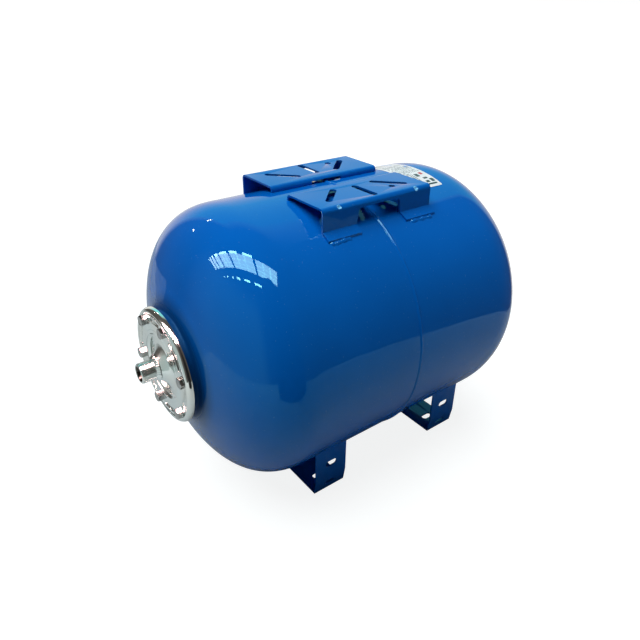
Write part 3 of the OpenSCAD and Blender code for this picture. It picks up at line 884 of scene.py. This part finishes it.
def rating_label(material):
    """Thin film with slightly rounded corners that lies on the top of the rear shell."""
    low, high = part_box("rating_label")
    x0, x1 = (low.x - SEAM_X) / MM, (high.x - SEAM_X) / MM
    half = math.asin(high.y / MM / TANK_R)
    corner, count_x, count_a = 1.5, 24, 80
    underside, face = 0.06, 0.30
    length = x1 - x0
    verts = []
    for lift in (underside, face):
        for i in range(count_a + 1):
            share = -1 + 2 * i / count_a
            edge = (1 - abs(share)) * half * TANK_R
            inset = corner - math.sqrt(max(0.0, corner ** 2 - max(0.0, corner - edge) ** 2))
            for k in range(count_x + 1):
                x = x0 + inset + (length - 2 * inset) * k / count_x
                curl = 0.12 * noise.noise(Vector((x / 20, share * 6, 1.7))) if lift == face else 0
                verts.append(point(x, TANK_R + lift + curl, TAU / 4 - share * half))
    rows, columns = count_a + 1, count_x + 1
    sheet = rows * columns
    faces = grid_faces(rows, columns, False, False)
    faces += [tuple(sheet + v for v in face[::-1]) for face in faces]
    border = (list(range(columns)) + [i * columns + columns - 1 for i in range(1, rows)]
              + [(rows - 1) * columns + k for k in range(columns - 2, -1, -1)]
              + [i * columns for i in range(rows - 2, 0, -1)])
    for i, a in enumerate(border):
        b = border[(i + 1) % len(border)]
        faces.append((a, b, sheet + b, sheet + a))
    film = mesh_from("rating_label_look", verts, faces)
    place(film, "vessel", "label_film", material, "rating_label")


# -------------------- putting the object together

def build_object():
    """Builds every piece, and gives the CAD nodes that stay their materials."""
    paint = blue_paint("blue_paint")
    sheet_paint = blue_paint("sheet_paint", shine=0.34, dart_highlights=True)
    zinc = zinc_plate()
    rubber = black_rubber()
    steel = raw_steel()
    brass = valve_brass()
    front_shell(paint)
    rear_shell(paint)
    girth_weld(paint)
    for node in ("top_bracket_right", "top_bracket_left", "front_foot", "rear_foot"):
        place(softened(node), "vessel", "blue_paint", sheet_paint, node)
    sheet_welds("bracket_welds", BRACKET_BEADS, BRACKET_BEAD_Y, BRACKET_BEAD_SIZE, True, paint)
    sheet_welds("foot_welds", FOOT_BEADS, FOOT_BEAD_Y, FOOT_BEAD_SIZE, False, paint)
    flange_plate(zinc)
    water_nipple(zinc)
    nipple_weld(zinc)
    flange_bolts(bolt_zinc())
    bladder(rubber)
    valve_cover(black_plastic("cover_plastic", 0.012, 900, 0.03))
    valve_cap(black_plastic("black_plastic", 0.010, 2200, 0.015))
    valve_body(brass)
    rating_label(label_film())
    kept = {"neck_ring": steel, "valve_boss": steel, "boss_weld": paint, "valve_gasket": rubber,
            "valve_core_body": brass, "valve_core_pin": brass, "valve_core_seal": rubber,
            "valve_core_spring": spring_wire(), "valve_cap_seal": rubber}
    for node, material in kept.items():
        NODES[node].data.materials.clear()
        NODES[node].data.materials.append(material)


# -------------------- the studio

# How bright the hall is in the gloss: everywhere, and what each of two walls adds
HALL = 0.08
FAR_WALL = 0.75
LEFT_WALL = 0.40

# Edges of the paper: lowest and highest X, then Y, in metres
PAPER = (-0.97, 0.70, -1.35, 1.5)
# The paper's far left corner, below this X and above this Y, is dull
PAPER_STEP = (-0.50, 0.62)


def stage_object(name, verts, faces, material):
    """A plain mesh that belongs to the studio."""
    mesh = bpy.data.meshes.new(name)
    mesh.from_pydata(verts, [], faces)
    mesh.materials.append(material)
    obj = bpy.data.objects.new(name, mesh)
    bpy.context.scene.collection.objects.link(obj)
    return obj


def stage_sheet(name, x0, x1, y0, y1, z, material):
    """A flat sheet of the studio's floor."""
    corners = [(x0, y0, z), (x1, y0, z), (x1, y1, z), (x0, y1, z)]
    return stage_object(name, corners, [(0, 1, 2, 3)], material)


def pale(name, left, right):
    """Matt paper of one brightness at the paper's left edge and another 0.65 m further right."""
    f = Finish(name, Roughness=0.9, Specular_IOR_Level=0.0)
    along = f.node("SeparateXYZ", {0: f.place}).outputs[0]
    grain = f.ramp(f.noise(5, 4), 0.3, 0.7, 0.0, 0.03)
    blend = f.math("ADD", f.ramp(along, PAPER[0], PAPER[0] + 0.65), grain)
    first, last = [rgb(value * 0.9, value * 0.98, value) for value in (left, right)]
    f.use(Base_Color=f.mix(blend, first, last))
    return f


def floor():
    """A wide white floor for the camera, and the narrower paper that the paint and the zinc mirror."""
    white = pale("floor_pale", 0.30, 0.31)
    white.shader.inputs["Emission Color"].default_value = rgb(1, 1, 1)
    white.shader.inputs["Emission Strength"].default_value = 0.84
    wide = stage_sheet("floor", -30, 30, -30, 30, -0.0002, white.material)
    wide.visible_glossy = False
    wide.visible_diffuse = False
    x0, x1, y0, y1 = PAPER
    paper = pale("paper_pale", 0.64, 0.385).material
    dull = pale("paper_end_pale", 0.26, 0.30).material
    sheets = [stage_sheet("paper", PAPER_STEP[0], x1, y0, y1, -0.0001, paper),
              stage_sheet("paper_left", x0, PAPER_STEP[0], y0, PAPER_STEP[1], -0.0001, paper),
              stage_sheet("paper_end", x0, PAPER_STEP[0], PAPER_STEP[1], y1, -0.0001, dull)]
    for sheet in sheets:
        sheet.visible_camera = False
        sheet.visible_shadow = False


def black_flag():
    """Tall dark screen around the camera, which shows as a dark shape in the gloss paint."""
    outline = [(-0.60, -0.54), (-0.46, -0.58), (-0.30, -0.64), (-0.18, -0.85), (-0.35, -1.15),
               (-0.62, -1.0)]
    height = 1.8
    count = len(outline)
    verts = [(x, y, z) for z in (0.0, height) for x, y in outline]
    faces = [(i, (i + 1) % count, count + (i + 1) % count, count + i) for i in range(count)]
    cloth = Finish("flag_cloth", Base_Color=rgb(0.01, 0.01, 0.01), Roughness=0.9).material
    obj = stage_object("black_flag", verts, faces, cloth)
    obj.visible_camera = False
    obj.visible_shadow = False


def glow(name, colour, strength):
    """Material that only shines."""
    material = bpy.data.materials.new(name)
    material.use_nodes = True
    nodes = material.node_tree.nodes
    nodes.clear()
    emission = nodes.new("ShaderNodeEmission")
    emission.inputs["Color"].default_value = colour
    emission.inputs["Strength"].default_value = strength
    output = nodes.new("ShaderNodeOutputMaterial")
    material.node_tree.links.new(emission.outputs[0], output.inputs[0])
    return material


def roof_sheet(name, panes, material, height=3.0):
    """Bright panes high above the tank, seen only in gloss.

    Each pane is start, end, near side and far side, as shares of the height above the tank's axis."""
    along = Vector((0.764, -0.645, 0))
    across = Vector((0.645, 0.764, 0))
    centre = Vector((SEAM_X - 0.15, -0.08, AXIS_Z + height))
    verts = []
    for s0, s1, c0, c1 in panes:
        for s, c in ((s0, c0), (s1, c0), (s1, c1), (s0, c1)):
            verts.append(centre + (along * s + across * c) * height)
    faces = [tuple(range(i, i + 4)) for i in range(0, len(verts), 4)]
    obj = stage_object(name, verts, faces, material)
    obj.visible_camera = False
    obj.visible_diffuse = False
    obj.visible_shadow = False


def roof_lights():
    """The hall's roof window of six panes with lit laths and rails, a row of lamps on each side of
    it, and three single lamps. Numbers are shares of the roof's height."""
    bars = (0.41, -0.085, -0.685, -1.09, -1.36, -1.56, -1.75)
    half_bar, half_lath, half_rail = 0.024, 0.006, 0.003
    low, high = -0.38, -0.095
    rails = (-0.336, -0.28, -0.20)
    panes = []
    frames = []
    for end, start in zip(bars, bars[1:]):
        start += half_bar
        end -= half_bar
        third = (end - start) / 3
        laths = (start + third, start + 2 * third)
        panes.append((start, end, low, high))
        frames += [(lath - half_lath, lath + half_lath, low, high) for lath in laths]
        frames += [(start, end, rail - half_rail, rail + half_rail) for rail in rails]
    roof_sheet("roof_window", panes, glow("roof_glow", rgb(1.55, 0.92, 1.0), 11.0))
    roof_sheet("roof_frames", frames, glow("frame_glow", rgb(1.4, 1.0, 1.0), 19.0), 2.99)
    near = [(-0.31, -0.11), (-0.66, -0.45), (-1.05, -0.75), (-1.30, -1.12), (-1.50, -1.40),
            (-1.66, -1.60), (-1.80, -1.77)]
    far = [(-1.41, -1.37), (-1.25, -1.19), (-1.01, -0.95), (-0.80, -0.68), (-0.54, -0.37),
           (-0.24, -0.05)]
    single = [(-1.92, -1.80, 1.04, 1.15), (-1.00, -0.95, 0.94, 0.99), (-0.91, -0.86, 0.92, 0.97)]
    lamps = [(start, end, -0.10, -0.052) for start, end in near]
    lamps += [(start, end, -0.61, -0.565) for start, end in far]
    roof_sheet("roof_lamps", lamps + single, glow("lamp_glow", rgb(1.3, 0.98, 0.92), 26.0))


def aimed_light(name, kind, energy, towards):
    """Light that shines in a direction and gives no mirror image of itself."""
    light = bpy.data.lights.new(name, kind)
    light.energy = energy
    obj = bpy.data.objects.new(name, light)
    obj.rotation_mode = "QUATERNION"
    obj.rotation_quaternion = towards.to_track_quat("-Z", "Y")
    obj.visible_glossy = False
    bpy.context.scene.collection.objects.link(obj)
    return obj


def lights():
    """Broad light from above, and soft light from low on the right that lifts the tank's underside."""
    overhead = aimed_light("overhead_light", "SUN", 3.85, Vector((0.25, -0.11, -1.0)))
    overhead.data.angle = math.radians(55)
    spot = Vector((0.92, -0.62, 0.04))
    fill = aimed_light("fill_light", "AREA", 2.0, Vector((0.15, 0, AXIS_Z)) - spot)
    fill.data.size = 0.6
    fill.location = spot


def world():
    """White behind the object; a dim hall with two paler walls in the gloss; faint light all round."""
    made = bpy.data.worlds.new("hall")
    bpy.context.scene.world = made
    made.use_nodes = True
    tree = made.node_tree
    tree.nodes.clear()

    def output(kind, links, socket=0, **settings):
        return add_node(tree, kind, links, **settings).outputs[socket]

    def rise(value, low, high, start=0.0, end=1.0):
        return output("MapRange", {"Value": value, "From Min": low, "From Max": high, "To Min": start,
                                   "To Max": end})

    def mix(factor, a, b):
        return output("Mix", {0: factor, 6: a, 7: b}, 2, data_type="RGBA")

    def bearing(vector):
        """Angle round the upright axis, from -pi to pi."""
        split = add_node(tree, "SeparateXYZ", {0: vector}).outputs
        return output("Math", {0: split[1], 1: split[0]}, operation="ARCTAN2")

    def region(*edges):
        """1 inside all edges, each a value that passes from low to high, and 0 outside."""
        inside = 1.0
        for value, low, high in edges:
            inside = output("Math", {0: inside, 1: rise(value, low, high)}, operation="MULTIPLY")
        return inside

    direction = output("TexCoord", {}, "Generated")
    height = output("SeparateXYZ", {0: direction}, 2)
    ahead = bearing(direction)
    behind = bearing(output("VectorMath", {0: direction, 1: (-1, -1, 1)}, operation="MULTIPLY"))
    far_wall = region((ahead, 0.10, 0.18), (ahead, 1.68, 1.56), (height, 0.86, 0.74))
    left_wall = region((behind, -0.85, -0.45), (behind, 0.65, 0.45), (height, 0.75, 0.45),
                       (height, -0.7, -0.6))
    strength = output("Math", {0: far_wall, 1: FAR_WALL, 2: HALL}, operation="MULTIPLY_ADD")
    strength = output("Math", {0: left_wall, 1: LEFT_WALL, 2: strength}, operation="MULTIPLY_ADD")
    near_hue = mix(left_wall, rgb(1.0, 0.96, 0.90), rgb(0.80, 0.96, 0.96))
    far_hue = mix(rise(height, 0.05, 0.38), rgb(1.0, 0.96, 0.92), rgb(0.28, 0.95, 1.0))
    hall = output("Background", {"Color": mix(far_wall, near_hue, far_hue), "Strength": strength})
    bounce = output("Background", {"Color": rgb(0.85, 0.97, 1),
                                   "Strength": rise(height, 0.05, -0.05, 0.04, 0.36)})
    white = output("Background", {"Color": rgb(1, 1, 1), "Strength": 1.0})
    path = add_node(tree, "LightPath").outputs
    lit = output("MixShader", {0: path["Is Glossy Ray"], 1: bounce, 2: hall})
    mixed = output("MixShader", {0: path["Is Camera Ray"], 1: lit, 2: white})
    add_node(tree, "OutputWorld", {0: mixed})


def camera():
    """The photograph's viewpoint, found from the outline of the tank."""
    data = bpy.data.cameras.new("camera")
    data.lens = 32.825
    data.sensor_width = 36.0
    obj = bpy.data.objects.new("camera", data)
    yaw, pitch, roll = 0.65254, 0.52063, 0.01168
    place_at = Matrix.Translation((-0.5144, -0.5994, 0.6472))
    turn = Matrix.Rotation(-yaw, 4, "Z") @ Matrix.Rotation(TAU / 4 - pitch, 4, "X")
    obj.matrix_world = place_at @ turn @ Matrix.Rotation(roll, 4, "Z")
    bpy.context.scene.collection.objects.link(obj)
    bpy.context.scene.camera = obj


def studio():
    """Everything around the object, and the camera."""
    floor()
    black_flag()
    roof_lights()
    lights()
    world()
    camera()
    bpy.context.scene.view_settings.view_transform = "Standard"


build_object()
studio()
